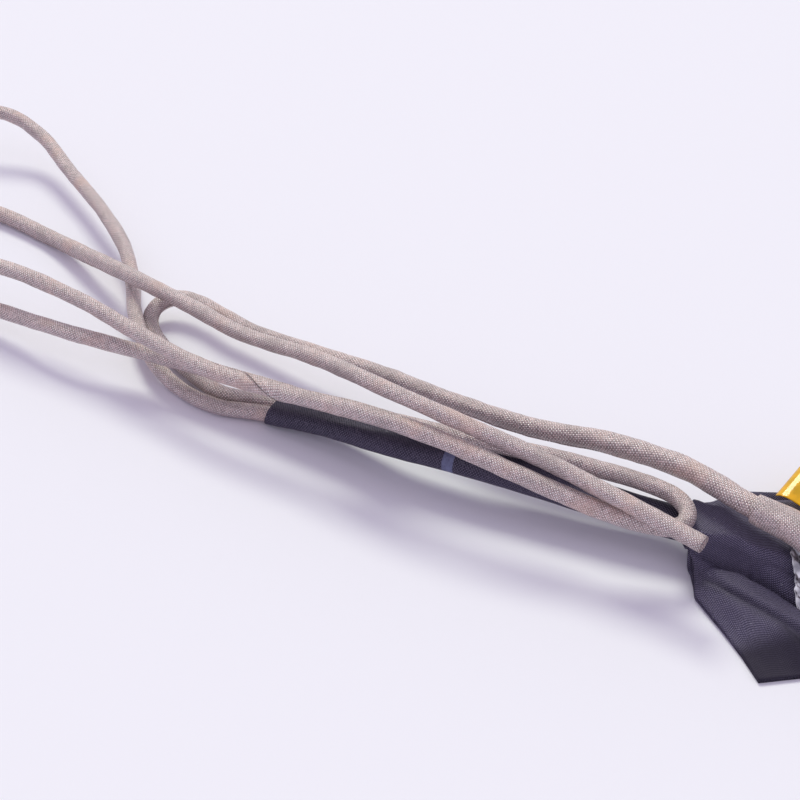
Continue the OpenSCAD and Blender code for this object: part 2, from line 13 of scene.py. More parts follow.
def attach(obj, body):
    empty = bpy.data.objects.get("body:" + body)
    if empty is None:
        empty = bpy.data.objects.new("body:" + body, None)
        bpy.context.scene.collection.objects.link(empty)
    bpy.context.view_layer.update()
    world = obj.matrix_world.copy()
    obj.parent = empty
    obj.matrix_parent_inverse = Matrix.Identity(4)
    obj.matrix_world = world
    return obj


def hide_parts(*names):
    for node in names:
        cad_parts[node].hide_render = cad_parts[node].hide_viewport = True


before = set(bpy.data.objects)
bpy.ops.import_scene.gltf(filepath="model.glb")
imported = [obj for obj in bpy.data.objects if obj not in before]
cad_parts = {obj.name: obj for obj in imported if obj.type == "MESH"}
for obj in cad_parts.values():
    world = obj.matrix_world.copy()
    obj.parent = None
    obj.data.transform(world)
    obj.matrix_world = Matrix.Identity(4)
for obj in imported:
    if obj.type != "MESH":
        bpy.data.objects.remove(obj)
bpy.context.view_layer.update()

# ---- Room ----
# A pale table top under a soft white room. One broad lamp stands behind the cable, a little to
# its left, and throws soft shadows towards the camera.


class Shade:
    """A shader socket. Arithmetic on it adds Math nodes."""

    def __init__(self, tree, socket):
        self.tree = tree
        self.socket = socket

    def node(self, kind, settings, values=(), out=0):
        made = self.tree.nodes.new("ShaderNode" + kind)
        for name, value in settings.items():
            if name == "stops":
                fill_ramp(made.color_ramp, value)
            else:
                setattr(made, name, value)
        values = values.items() if isinstance(values, dict) else enumerate(values)
        for key, value in values:
            self.plug(made.inputs[key], value)
        return Shade(self.tree, made.outputs[out])

    def plug(self, entry, value):
        if isinstance(value, Shade):
            self.tree.links.new(value.socket, entry)
        else:
            entry.default_value = value

    def math(self, operation, *values):
        return self.node("Math", {"operation": operation}, values)

    def __add__(self, other):
        return self.math("ADD", self, other)

    __radd__ = __add__

    def __sub__(self, other):
        return self.math("SUBTRACT", self, other)

    def __rsub__(self, other):
        return self.math("SUBTRACT", other, self)

    def __mul__(self, other):
        return self.math("MULTIPLY", self, other)

    __rmul__ = __mul__

    def __truediv__(self, other):
        return self.math("DIVIDE", self, other)

    def __pow__(self, other):
        return self.math("POWER", self, other)

    def __abs__(self):
        return self.math("ABSOLUTE", self)

    def sin(self):
        return self.math("SINE", self)

    def between(self, low, high):
        """0 at low, 1 at high, smooth between them."""
        settings = {"interpolation_type": "SMOOTHSTEP"}
        return self.node("MapRange", settings, {"Value": self, "From Min": low, "From Max": high})

    def blend(self, low, high):
        """The colour low where this is 0, high where it is 1."""
        settings = {"data_type": "RGBA", "clamp_factor": True}
        return self.node("Mix", settings, {0: self, 6: low, 7: high}, out=2)


def fill_ramp(ramp, stops):
    while len(ramp.elements) < len(stops):
        ramp.elements.new(1)
    for element, (place, value) in zip(ramp.elements, stops):
        element.position = place
        element.color = (value, value, value, 1)


def rgb(red, green, blue):
    """A colour from its 0 to 255 screen values."""
    screen = [value / 255 for value in (red, green, blue)]
    linear = [v / 12.92 if v < 0.04045 else ((v + 0.055) / 1.055) ** 2.4 for v in screen]
    return (*linear, 1)


def new_material(name, **constants):
    """A material, its shader node and a Shade to start expressions from."""
    material = bpy.data.materials.new(name)
    material.use_nodes = True
    shader = material.node_tree.nodes["Principled BSDF"]
    for socket, value in constants.items():
        shader.inputs[socket.replace("_", " ")].default_value = value
    return material, shader, Shade(material.node_tree, None)


def wear(piece, material):
    piece.data.materials.clear()
    piece.data.materials.append(material)


def linked(piece):
    bpy.context.scene.collection.objects.link(piece)
    return piece


TABLE_WHITE = rgb(242, 239, 250)
AMBIENT = (0.55, 0.518, 0.618)
LAMPS = {
    # name: (share of the light by channel, height, bearing, angular size), angles in degrees
    "window_lamp": ((0.38, 0.412, 0.322), 47, 40, 20),
    "wide_lamp": ((0.05, 0.05, 0.05), 62, 30, 120),
}
CAMERA_BEARING = 32
CAMERA_HEIGHT = 40
CAMERA_REACH = 0.220


def away(height, bearing, towards):
    """A unit direction at a height, and at a bearing from -Y or from +Y, in degrees."""
    high, turn = math.radians(height), math.radians(bearing)
    flat = Vector((math.sin(turn), -math.cos(turn), 0)) * towards
    return flat * math.cos(high) + Vector((0, 0, math.sin(high)))


bpy.ops.object.select_all(action="DESELECT")
bpy.ops.mesh.primitive_plane_add(size=6, location=(0, 0, 0))
table = bpy.context.object
table.name = "table_top"
material, shader, start = new_material("table_white", Roughness=0.85, Base_Color=TABLE_WHITE)
wear(table, material)

world = bpy.data.worlds.new("room")
bpy.context.scene.world = world
world.use_nodes = True
backdrop = world.node_tree.nodes["Background"]
room = Shade(world.node_tree, None)
seen = room.node("LightPath", {}, out="Is Camera Ray")
for ray in ("Is Glossy Ray", "Is Transmission Ray"):
    seen = seen.math("MAXIMUM", seen, room.node("LightPath", {}, out=ray))
room.plug(backdrop.inputs["Color"], seen.blend((*AMBIENT, 1), TABLE_WHITE))

for name, (shares, height, bearing, size) in LAMPS.items():
    lamp = linked(bpy.data.objects.new(name, bpy.data.lights.new(name, "SUN")))
    lamp.data.angle = math.radians(size)
    lamp.data.energy = math.pi / math.sin(math.radians(height))
    lamp.data.color = shares
    lamp.rotation_euler = away(height, bearing, -1).to_track_quat("Z", "Y").to_euler()

scene = bpy.context.scene
scene.view_settings.view_transform = "Standard"
camera = linked(bpy.data.objects.new("camera", bpy.data.cameras.new("camera")))
camera.data.lens = 79.2
camera.data.sensor_width = 36
camera.data.clip_start = 0.001
camera_from = away(CAMERA_HEIGHT, CAMERA_BEARING, 1)
camera.location = camera_from * CAMERA_REACH
camera.rotation_euler = camera_from.to_track_quat("Z", "Y").to_euler()
scene.camera = camera

# ---- The two strands ----
# Each is a bundle of fine wires in a jacket of metallised plain-weave cloth, wrapped lengthwise
# so that its lip wanders round the strand. Hand-folded, they lie in a loose hank.

THIN_D = 0.002
MAIN_D = 0.002
MAIN_TWICE_D = 0.0027
GAP = 0.0001
THIN_SIDE = -(THIN_D + GAP) / 2
MAIN_SIDE = (MAIN_D + GAP) / 2
SLEEVE_ROUTE = [
    (-0.0112, -0.0112, 0.0015), (-0.003, -0.0108, 0.0029), (0.0064, -0.0108, 0.0041),
    (0.015, -0.0096, 0.0045), (0.0234, -0.0082, 0.0043), (0.0322, -0.0068, 0.0039),
    (0.0408, -0.0052, 0.0036), (0.0454, -0.0038, 0.0036),
]
THIN_INNER = [(0.0526, -0.0016, 0.0027), (0.0494, -0.0034, 0.0032)]
MAIN_INNER = [(0.051, 0.001, 0.0027), (0.0482, -0.0008, 0.0032)]
THIN_FREE = [
    (-0.0178, -0.0142, 0.0012), (-0.024, -0.0138, 0.0012), (-0.0296, -0.012, 0.0025),
    (-0.0364, -0.0066, 0.0029), (-0.0422, 0, 0.0025), (-0.0474, 0.0046, 0.0034),
    (-0.055, 0.0092, 0.0039), (-0.065, 0.0144, 0.0039), (-0.0738, 0.0184, 0.005),
    (-0.081, 0.0182, 0.0066), (-0.088, 0.0136, 0.0058), (-0.0922, 0.0054, 0.004),
    (-0.0912, -0.004, 0.002), (-0.0846, -0.012, 0.0012), (-0.0744, -0.0156, 0.0013),
    (-0.063, -0.0164, 0.0026), (-0.0514, -0.0158, 0.0036), (-0.0396, -0.0158, 0.0048),
    (-0.0284, -0.0138, 0.0047), (-0.017, -0.0125, 0.0053), (-0.0066, -0.0118, 0.006),
    (0.0038, -0.0112, 0.0071), (0.0148, -0.009, 0.0072), (0.025, -0.0062, 0.0069),
    (0.033, -0.0046, 0.0066), (0.0384, -0.0042, 0.0064), (0.0412, -0.0058, 0.0065),
    (0.0416, -0.0084, 0.0065), (0.0389, -0.0099, 0.0064), (0.0323, -0.0118, 0.0075),
    (0.0228, -0.013, 0.0091), (0.0132, -0.0134, 0.0099), (0.0036, -0.014, 0.0098),
    (-0.007, -0.0146, 0.0084), (-0.0176, -0.0154, 0.0079), (-0.0282, -0.0144, 0.0079),
    (-0.0396, -0.0132, 0.0084), (-0.0518, -0.0132, 0.0086), (-0.0622, -0.0138, 0.0068),
    (-0.0714, -0.0134, 0.0038), (-0.0778, -0.0104, 0.0016), (-0.0798, -0.0062, 0.0012),
    (-0.0768, -0.0028, 0.0019), (-0.0744, 0.0016, 0.0012), (-0.069, 0.0036, 0.0012),
    (-0.0576, 0.0026, 0.0014), (-0.0426, -0.0018, 0.0048), (-0.0298, -0.0048, 0.0066),
    (-0.0178, -0.0078, 0.0082), (-0.0066, -0.0086, 0.0098), (0.0034, -0.0108, 0.0116),
    (0.0136, -0.0116, 0.0119), (0.0257, -0.0107, 0.0102), (0.0377, -0.011, 0.0089),
    (0.0456, -0.0116, 0.0083),
]
MAIN_FREE = [
    (-0.0186, -0.0118, 0.0012), (-0.0246, -0.0106, 0.0012), (-0.03, -0.0086, 0.0012),
    (-0.0346, -0.006, 0.0014), (-0.0358, -0.0032, 0.0022), (-0.0344, -0.001, 0.0029),
    (-0.031, -0.0004, 0.0033), (-0.026, -0.0012, 0.0035), (-0.0204, -0.0018, 0.0034),
    (-0.0114, -0.002, 0.0042), (-0.0016, -0.002, 0.005), (0.0084, -0.0026, 0.0058),
    (0.019, -0.0026, 0.0065), (0.0292, -0.0006, 0.0069), (0.0384, -0.0006, 0.0075),
    (0.0464, -0.0025, 0.0077), (0.054, -0.0038, 0.0075), (0.0616, -0.0056, 0.0056),
    (0.069, -0.007, 0.0036), (0.075, -0.0079, 0.0024), (0.08, -0.0084, 0.002),
]
RING_STEP = 0.0004
UP = Vector((0, 0, 1))


def beside(route, side):
    """The route shifted sideways in plan."""
    points = [Vector(p) for p in route]
    shifted = []
    for i, point in enumerate(points):
        along = points[min(i + 1, len(points) - 1)] - points[max(i - 1, 0)]
        shifted.append(point + UP.cross(along).normalized() * side)
    return shifted


def smooth_line(route, step):
    """Points about step apart on a smooth curve through the route's points, and its length."""
    p = [Vector(q) for q in route]
    p = [2 * p[0] - p[1], *p, 2 * p[-1] - p[-2]]
    fine = []
    for a, b, c, d in zip(p, p[1:], p[2:], p[3:]):
        count = max(4, math.ceil((c - b).length / step * 4))
        for k in range(count):
            t = k / count
            curve = (2 * a - 5 * b + 4 * c - d) + t * (3 * b - a - 3 * c + d)
            fine.append(b + 0.5 * t * ((c - a) + t * curve))
    fine.append(p[-2])
    reach = [0]
    for a, b in zip(fine, fine[1:]):
        reach.append(reach[-1] + (b - a).length)
    count = round(reach[-1] / step)
    line = []
    k = 0
    for i in range(count + 1):
        goal = reach[-1] * i / count
        while k < len(fine) - 2 and reach[k + 1] < goal:
            k += 1
        share = (goal - reach[k]) / (reach[k + 1] - reach[k])
        line.append(fine[k].lerp(fine[k + 1], share))
    return line, reach[-1]


def frames(line):
    """Each point of a line with its sideways and upward directions."""
    for i, point in enumerate(line):
        along = (line[min(i + 1, len(line) - 1)] - line[max(i - 1, 0)]).normalized()
        side = UP.cross(along).normalized()
        yield point, side, along.cross(side)


def lookup(table, place):
    """The value at a place, on straight lines between the table's pairs."""
    if place <= table[0][0]:
        return table[0][1]
    for (low, a), (high, b) in zip(table, table[1:]):
        if place <= high:
            return a + (b - a) * (place - low) / (high - low)
    return table[-1][1]


def wrapped_tube(name, line, radius, lip, lip_angle, around=30):
    """A strand whose section is one turn of a spiral, so that the cloth's edge stands up as a lip.

    Its UV map is the cloth's own plane, in metres. Its two ends are cut a little hollow.
    """
    step = (line[1] - line[0]).length
    made = bmesh.new()
    uv = made.loops.layers.uv.new("cloth")
    rows = []
    for i, (point, side, up) in enumerate(frames(line)):
        reach = i * step
        turn = math.radians(lip_angle(reach))
        row = []
        for k in range(around):
            share = k / (around - 1)
            angle = turn + share * math.tau * 0.9985
            r = radius(reach, angle) + lip * (1 - share) ** 8
            spot = point + side * (r * math.cos(angle)) + up * (r * math.sin(angle))
            row.append(made.verts.new(spot))
        rows.append(row)
    for row in rows:
        for vert in row:
            vert.co.z = max(vert.co.z, 0.00001)
    width = math.tau * radius(0, 0)
    for i, (near, far) in enumerate(zip(rows, rows[1:])):
        for k in range(around):
            m = (k + 1) % around
            face = made.faces.new((near[k], far[k], far[m], near[m]))
            face.smooth = k != around - 1
            low, high = k / (around - 1), (k + 1) / (around - 1)
            spots = ((i, low), (i + 1, low), (i + 1, high), (i, high))
            for loop, (u, v) in zip(face.loops, spots):
                loop[uv].uv = (u * step, v * width)
    tips = (
        (rows[0], line[0], line[1] - line[0]),
        (rows[-1], line[-1], line[-2] - line[-1]),
    )
    for row, end, inward in tips:
        inward = inward.normalized()
        outer = row
        for shrink, depth in ((0.93, -0.00004), (0.8, 0.00006), (0.74, 0.00022), (0.02, 0.00018)):
            inner = [
                made.verts.new(end + (vert.co - end) * shrink + inward * depth) for vert in row
            ]
            for k in range(around):
                m = (k + 1) % around
                face = made.faces.new((outer[k], outer[m], inner[m], inner[k]))
                for loop in face.loops:
                    away_from = loop.vert.co - end
                    loop[uv].uv = (away_from.x + away_from.y, away_from.z + 0.01)
            outer = inner
        made.faces.new(outer)
    bmesh.ops.recalc_face_normals(made, faces=made.faces)
    mesh = bpy.data.meshes.new(name)
    made.to_mesh(mesh)
    made.free()
    return linked(bpy.data.objects.new(name, mesh))


def lumpy(diameter, seed):
    """A strand's radius: slow swellings, and the dents of the wires and of handling round it."""

    def radius(reach, angle):
        slow = noise.noise(Vector((reach * 90, seed, 0)))
        round_it = Vector((reach * 300, math.cos(angle) * 0.9 + seed, math.sin(angle) * 0.9))
        quick = noise.noise(round_it)
        fine = noise.noise(round_it * 3.1)
        size = diameter(reach) if callable(diameter) else diameter
        return size / 2 * (0.98 + 0.05 * slow + 0.09 * quick + 0.04 * fine)

    return radius


thin_route = THIN_INNER + beside(SLEEVE_ROUTE, THIN_SIDE)[::-1] + THIN_FREE
thin_line, thin_length = smooth_line(thin_route, RING_STEP)
main_route = MAIN_INNER + beside(SLEEVE_ROUTE, MAIN_SIDE)[::-1] + MAIN_FREE
main_line, main_length = smooth_line(main_route, RING_STEP)


def reach_of(line, point):
    """How far along a line the place nearest a point is."""
    step = (line[1] - line[0]).length
    return min(range(len(line)), key=lambda i: (line[i] - Vector(point)).length) * step


thicken_from = reach_of(main_line, MAIN_FREE[11])
thicken_to = reach_of(main_line, MAIN_FREE[14])


def main_diameter(reach):
    return lookup([(thicken_from, MAIN_D), (thicken_to, MAIN_TWICE_D)], reach)


# Where round the thin strand the lip of its cloth is, in degrees, by distance along it
THIN_LIP = [
    (0, 200), (0.09, 250), (0.2, 300), (0.3, 290), (0.366, 305), (0.3724, 500), (0.39, 560),
    (0.425, 600), (0.45, 560), (0.53, 640), (0.58, 700),
]
thin = wrapped_tube(
    "thin_strand_cloth", thin_line, lumpy(THIN_D, 1.5), 0.00017, lambda s: lookup(THIN_LIP, s)
)
main = wrapped_tube(
    "main_strand_cloth", main_line, lumpy(main_diameter, 7.5), 0.00017, lambda s: 100 + s * 900, 34
)

THREAD_ALONG = 0.0002
THREAD_AROUND = 0.00021


def split(place):
    """The two coordinates of a place in a cloth's plane."""
    parts = place.node("SeparateXYZ", {}, [place])
    return parts, Shade(parts.tree, parts.socket.node.outputs[1])


def weave(start, along, across, skew):
    """The threads of a plain weave on a cloth's own plane.

    Gives the crown of each thread, which of the two threads is on top, and a chance value that is
    different for each crossing.
    """
    u, v = split(start.node("UVMap", {"uv_map": "cloth"}))
    u, v = (u + v * skew) * (1 / along), (v - u * skew) * (1 / across)
    crown = abs((u * math.pi).sin() * (v * math.pi).sin())
    cell = start.node("CombineXYZ", {}, [u.math("FLOOR", u), v.math("FLOOR", v)])
    over = ((u * math.pi).sin() * (v * math.pi).sin()).between(-0.12, 0.12)
    chance = start.node("TexWhiteNoise", {"noise_dimensions": "2D"}, {"Vector": cell})
    return crown ** 0.5, over, chance


def shield_cloth(name, skew, along=THREAD_ALONG, around=THREAD_AROUND):
    """Plain-woven polyester thread, metallised with nickel over copper."""
    material, shader, start = new_material(
        name, Metallic=0.3, Roughness=0.4, Specular_IOR_Level=0.95,
    )
    crown, over, chance = weave(start, along, around, skew)
    place = start.node("TexCoord", {}, out="Object")
    patch = start.node("TexNoise", {}, {"Vector": place, "Scale": 210.0, "Detail": 4.0})
    ribs = start.node("TexNoise", {}, {"Vector": place, "Scale": 1500.0, "Detail": 2.0})
    # The warp is painted near white and the weft darker, each varied by the chance per crossing:
    # painted glints and painted shade on threads of one metal.
    warp = (chance * 0.8).blend(rgb(255, 247, 249), rgb(244, 220, 222))
    weft = (chance * 0.9).blend(rgb(154, 130, 132), rgb(240, 211, 211))
    lit_and_shaded_thread = over.blend(weft, warp)
    # The gaps between the crowns are painted dark: painted shade between the threads.
    gap_shaded = crown.between(0.12, 0.7).blend(rgb(94, 76, 79), lit_and_shaded_thread)
    worn = (patch.between(0.5, 0.75) * 0.4).blend(gap_shaded, rgb(214, 172, 156))
    grimy = (patch.between(0.52, 0.3) * 0.35).blend(worn, rgb(146, 132, 132))
    ribbed = (ribs.between(0.62, 0.4) * 0.2).blend(grimy, rgb(140, 126, 128))
    # A thin dark line along the cloth's lip: painted shade under the lip's raised edge.
    lip_shade = split(start.node("UVMap", {"uv_map": "cloth"}))[1].between(0.00016, 0.00005)
    start.plug(shader.inputs["Base Color"], (lip_shade * 0.85).blend(ribbed, rgb(74, 60, 60)))
    start.plug(shader.inputs["Roughness"], 0.3 + chance * 0.22)
    height = crown * (0.45 + over * 0.55) + patch * 0.5
    bump = start.node("Bump", {}, {"Strength": 0.9, "Distance": 0.0001, "Height": height})
    start.plug(shader.inputs["Normal"], bump)
    return material


def finish(piece, material, slot, *nodes):
    """Wear a material, ride on the one body and take the place of the CAD nodes."""
    wear(piece, material)
    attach(piece, "root")
    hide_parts(*nodes)


finish(thin, shield_cloth("thin_shield_cloth", 0.12), "shield_cloth", "thin_strand")
finish(main, shield_cloth("main_shield_cloth", -0.2), "shield_cloth", "main_strand")

# ---- Black sleeve ----
# One strip of black acetate-cloth tape, rolled round both strands side by side and stuck down on
# itself along the back. A dab of pale paint marks its place.

SLEEVE_HALF = MAIN_SIDE
SLEEVE_R = 0.001175
SLEEVE_WALL = 0.00015
SLEEVE_SHARE = 1.13
MARK_FROM = 0.0243
MARK_WIDE = 0.0015


def cloth_sheet(name, rows, wall):
    """A strip of cloth through rows of points, with its UV map in the cloth's own plane."""
    made = bmesh.new()
    uv = made.loops.layers.uv.new("cloth")
    verts = [[made.verts.new(p) for p in row] for row in rows]
    # Lengths along the middle row and across each row set the flat places
    middle = len(rows[0]) // 2
    reach = [0]
    for near, far in zip(rows, rows[1:]):
        reach.append(reach[-1] + (far[middle] - near[middle]).length)
    spans = []
    for row in rows:
        span = [0]
        for a, b in zip(row, row[1:]):
            span.append(span[-1] + (b - a).length)
        spans.append(span)
    for i in range(len(rows) - 1):
        for k in range(len(rows[0]) - 1):
            corners = ((i, k), (i + 1, k), (i + 1, k + 1), (i, k + 1))
            face = made.faces.new([verts[a][b] for a, b in corners])
            face.smooth = True
            for loop, (a, b) in zip(face.loops, corners):
                loop[uv].uv = (reach[a], spans[a][b])
    mesh = bpy.data.meshes.new(name)
    made.to_mesh(mesh)
    made.free()
    piece = linked(bpy.data.objects.new(name, mesh))
    bpy.ops.object.select_all(action="DESELECT")
    piece.select_set(True)
    bpy.context.view_layer.objects.active = piece
    solidify = piece.modifiers.new("wall", "SOLIDIFY")
    solidify.thickness = wall
    solidify.offset = 0
    bpy.ops.object.modifier_apply(modifier=solidify.name)
    return piece


def stadium(half, r, share):
    """A place round a stadium, from the middle of its back side, and its outward direction."""
    straight, bend = 2 * half, math.pi * r
    reach = share % 1 * 2 * (straight + bend)
    for length, place in (
        (half, lambda s: ((s, -r), (0, -1))),
        (bend, lambda s: turned(half, r, s / r - math.pi / 2)),
        (straight, lambda s: ((half - s, r), (0, 1))),
        (bend, lambda s: turned(-half, r, s / r + math.pi / 2)),
        (half, lambda s: ((s - half, -r), (0, -1))),
    ):
        if reach <= length:
            return place(reach)
        reach -= length
    return place(half)


def turned(x, r, angle):
    return (x + r * math.cos(angle), r * math.sin(angle)), (math.cos(angle), math.sin(angle))


sleeve_line, sleeve_length = smooth_line(SLEEVE_ROUTE, RING_STEP)
AROUND = 64
rows = []
for i, (point, side, up) in enumerate(frames(sleeve_line)):
    row = []
    reach = i * RING_STEP
    for k in range(AROUND + 1):
        share = SLEEVE_SHARE * k / AROUND
        (x, y), (out_x, out_y) = stadium(SLEEVE_HALF, SLEEVE_R, share + 0.02)
        crease = noise.noise(Vector((reach * 190, x * 900, y * 900 + 3)))
        swell = noise.noise(Vector((reach * 420, x * 500 + 9, y * 500)))
        grow = SLEEVE_WALL * max(0, (share - 0.97) / 0.03 if share < 1 else 1)
        grow += 0.00008 * crease + 0.00004 * swell
        # The strip's cut left end is not quite square
        ragged = 0.00008 * noise.noise(Vector((k * 0.7, 5, 0)))
        slant = (0.0004 * (y / SLEEVE_R) + ragged) * max(0, 1 - reach / 0.003)
        along = up.cross(side) * -1
        row.append(point + side * (x + out_x * grow) + up * (y + out_y * grow) + along * slant)
    rows.append(row)
sleeve = cloth_sheet("black_sleeve_cloth", rows, SLEEVE_WALL)


def black_cloth(name, along, across, tone_scale=1.0):
    """Woven acetate-cloth tape: black, with a dull sheen and grey lint in its weave."""
    material, shader, start = new_material(
        name, Roughness=0.6, Specular_IOR_Level=0.13, Specular_Tint=(0.95, 0.8, 1.0, 1),
    )
    crown, over, chance = weave(start, along, across, 0.03)
    place = start.node("TexCoord", {}, out="Object")
    cloudy = start.node("TexNoise", {}, {"Vector": place, "Scale": 140.0, "Detail": 4.0})
    lint = start.node("TexNoise", {}, {"Vector": place, "Scale": 2600.0, "Detail": 2.0})
    gap_shade, under, top = (
        rgb(*(value * tone_scale for value in tone))
        for tone in ((32, 30, 41), (49, 46, 60), (96, 91, 111))
    )
    # The thread on top is painted lighter than the one under it, and rare crossings lighter still:
    # painted shade and painted glints on threads of one black cloth.
    lit_and_shaded_thread = over.blend(under, top)
    lit_and_shaded_thread = ((chance ** 3.0) * 0.55).blend(lit_and_shaded_thread, rgb(112, 106, 124))
    # The gaps between the crowns are painted darker: painted shade between the threads.
    cloth = crown.between(0.15, 0.7).blend(gap_shade, lit_and_shaded_thread)
    cloth = (cloudy.between(0.4, 0.7) * 0.35).blend(cloth, rgb(84, 77, 98))
    cloth = (lint.between(0.69, 0.76) * 0.5).blend(cloth, rgb(150, 146, 160))
    start.plug(shader.inputs["Roughness"], 0.42 + cloudy * 0.22)
    height = crown * (0.5 + over * 0.5) + cloudy * 1.5
    bump = start.node("Bump", {}, {"Strength": 0.5, "Distance": 0.00006, "Height": height})
    start.plug(shader.inputs["Normal"], bump)
    start.plug(shader.inputs["Base Color"], cloth)
    return material, shader, start, cloth, chance


# How far the paint mark's edges wander, and how soft they are
MARK_RAGGED = 0.0003
MARK_SOFT = 0.0001

material, shader, start, cloth, chance = black_cloth("sleeve_cloth", 0.00018, 0.0002)
u, v = split(start.node("UVMap", {"uv_map": "cloth"}))
streak = start.node("TexNoise", {}, {
    "Vector": start.node("CombineXYZ", {}, [u * 2200.0, v * 500.0]), "Scale": 1.0, "Detail": 3.0,
})
ragged_u = u + streak * MARK_RAGGED
mark_to = MARK_FROM + MARK_WIDE
inside = ragged_u.between(MARK_FROM, MARK_FROM + MARK_SOFT)
inside = inside * ragged_u.between(mark_to, mark_to - MARK_SOFT)
paint = inside * (0.35 + streak * 0.65 + chance * 0.2)
start.plug(shader.inputs["Base Color"], paint.blend(cloth, rgb(118, 122, 156)))
finish(sleeve, material, "black_cloth_tape", "black_sleeve")

# ---- Third wrap ----
# Over its last stretch the main strand has one more turn of metallised cloth, wrapped across it
# at a slant, so that its start shows as a stepped edge and its lip as a flap along the back.

OVERWRAP_FROM = 15
OVERWRAP_R = 0.00153
OVERWRAP_WALL = 0.00016
WRAP_TURNS = 1.12
FLAP = [
    (0, 0.0003), (0.0015, 0.001), (0.0045, 0.0024), (0.0095, 0.0026), (0.018, 0.0008),
    (0.033, 0.0006),
]
WRAP_SHORT = 0.0028
wrap_at = reach_of(main_line, MAIN_FREE[OVERWRAP_FROM])
step = (main_line[1] - main_line[0]).length
wrap_line = main_line[round((wrap_at + WRAP_SHORT) / step):]
rows = []
for i, (point, side, up) in enumerate(frames(wrap_line)):
    reach = i * step
    row = []
    for k in range(AROUND + 1):
        # Starts over the top, runs down the front and round, and leaves the top as a flap
        share = min(1, k / (AROUND * 0.78))
        angle = math.radians(78) + (1 - share) * WRAP_TURNS * math.tau
        dent = noise.noise(Vector((reach * 260, math.cos(angle) * 1.1, math.sin(angle) * 1.1 + 4)))
        r = OVERWRAP_R + share * WRAP_TURNS * OVERWRAP_WALL * 1.25 + 0.0001 * dent
        x, y = r * math.cos(angle), r * math.sin(angle)
        out = max(0, k / AROUND - 0.78) / 0.22
        wide = lookup(FLAP, reach) * (1 + 0.25 * noise.noise(Vector((reach * 500, 2, 7))))
        x += out * wide * math.sin(angle)
        y -= out * wide * (math.cos(angle) + 0.45 * out)
        back = min(1, k / AROUND * 1.5) * 0.0012 * max(0, 1 - reach / 0.006)
        row.append(point + side * x + up * y + up.cross(side) * back)
    rows.append(row)
overwrap = cloth_sheet("third_wrap_cloth", rows, OVERWRAP_WALL)
finish(overwrap, shield_cloth("third_wrap_shield_cloth", 0.5), "shield_cloth", "cloth_overwrap")

# ---- Wide black tape ----
# A piece of the same acetate-cloth tape, folded double over the sleeve's end, the fan of wires
# and the back of the board plug, and pressed flat to itself beyond them.

TAPE_CORNER = Vector((0.0405, -0.0017, 0))
TAPE_TURN = math.radians(40)
TAPE_LONG = 0.026
TAPE_LAYER = 0.00025
TAPE_CUT = [
    (0, 0), (0.002, -0.0014), (0.004, -0.0024), (0.0075, -0.0021), (0.0095, -0.0023),
    (0.011, -0.0026), (0.016, -0.001), (0.020, 0.0001), (0.024, 0.0009),
]
TAPE_MID = [(0, 0.0029), (0.15, 0.0047), (0.38, 0.0065), (0.6, 0.0084), (1, 0.010741)]
TAPE_Z = [(0, 0.0036), (0.17, 0.0036), (0.38, 0.0027), (0.6, 0.00195), (0.85, 0.0018), (1, 0.0018)]
TAPE_FOOT = [
    (0, 0.0064), (0.08, 0.007), (0.17, 0.0083), (0.258, 0.0114), (0.317, 0.0151), (0.45, 0.0185),
    (0.6, 0.0195), (1, 0.02308),
]
TAPE_WIDE = 0.0237
TAPE_TAIL_Z = 0.00025
TAPE_EDGE_LIFT = [(0.08, 0), (0.22, 0.0014), (0.42, 0.0014), (0.62, 0)]
# The pocket's half width, half height and squareness, at the sleeve and at the board plug
POCKET_WIDE = (0.002949, 0.010341)
POCKET_TALL = (0.00135, 0.00155)
POCKET_SQUARE = (1.5, 2.4)
# The tail: its terrace, the crease past it, the dome past that, and how it hangs at the left
TERRACE_RISE = 0.0017
TERRACE_RUN = 0.0019
RIM_BEFORE = 0.0009
CREASE_FROM = 0.0069
CREASE_SLOPE = 0.043
DOME_RISE = (0.0006, 0.0021)
HANG_RISE = 0.0024
HANG_SHARE = 0.15
HANG_START = 0.0011
HANG_REACH = 0.006


def mix(a, b, share):
    return a + (b - a) * share


def clamp(share):
    return max(0, min(1, share))


def ease(share):
    share = clamp(share)
    return share * share * (3 - 2 * share)


def pouch_rows(stations, wall, relief, steps=(14, 34, 40)):
    """Rows of points over a folded tape: under layer from its tail, round the fold, upper layer.

    A station gives corner, across, along, edge shifts, pocket middle, z, half width, half height,
    squareness, foot, width and tail z. relief is what a place's upper face is raised by.
    """
    rows = []
    for share, station in stations:
        corner, across, along, shifts, mid, z, wide, tall, square, foot, width, tail = station
        edge = min(0, mid - wide - wall)
        places = [mix(edge, mid - wide, k / steps[0]) for k in range(steps[0])]
        places += [mid - wide * math.cos(math.pi * k / steps[1]) for k in range(steps[1])]
        places += [mix(mid + wide, width, k / steps[2]) for k in range(steps[2] + 1)]
        faces = []
        for top in (1, -1):
            face = []
            for t in places:
                middle = mix(z, tail, ease((t - mid - wide) / (foot - mid - wide)))
                bulge = tall * min(1, square * math.sqrt(max(0, 1 - ((t - mid) / wide) ** 2)))
                height = max(middle + top * (wall / 2 + bulge), wall / 2)
                if top == 1:
                    # Drawn tight from the pocket's crown to a shoulder, then down to the tail
                    shoulder = max(mid + 0.8 * wide, foot - 0.002)
                    crown = z + tall * min(1, square)
                    taut = mix(crown, mix(tail, z, 0.6), clamp((t - mid) / (shoulder - mid)))
                    taut = mix(taut, tail, ease((t - shoulder) / (foot - 0.0001 - shoulder)))
                    held = (taut if t > mid else 0) + wall / 2
                    height = max(height, held) + relief(share, t, width)
                spot = corner + across * t + along * lookup(shifts, t)
                face.append(Vector((spot.x, spot.y, height)))
            faces.append(face)
        upper, under = faces
        round_it = (upper[0] + under[0]) / 2 - across * (wall / 2)
        rows.append(under[::-1] + [round_it] + upper)
    return rows


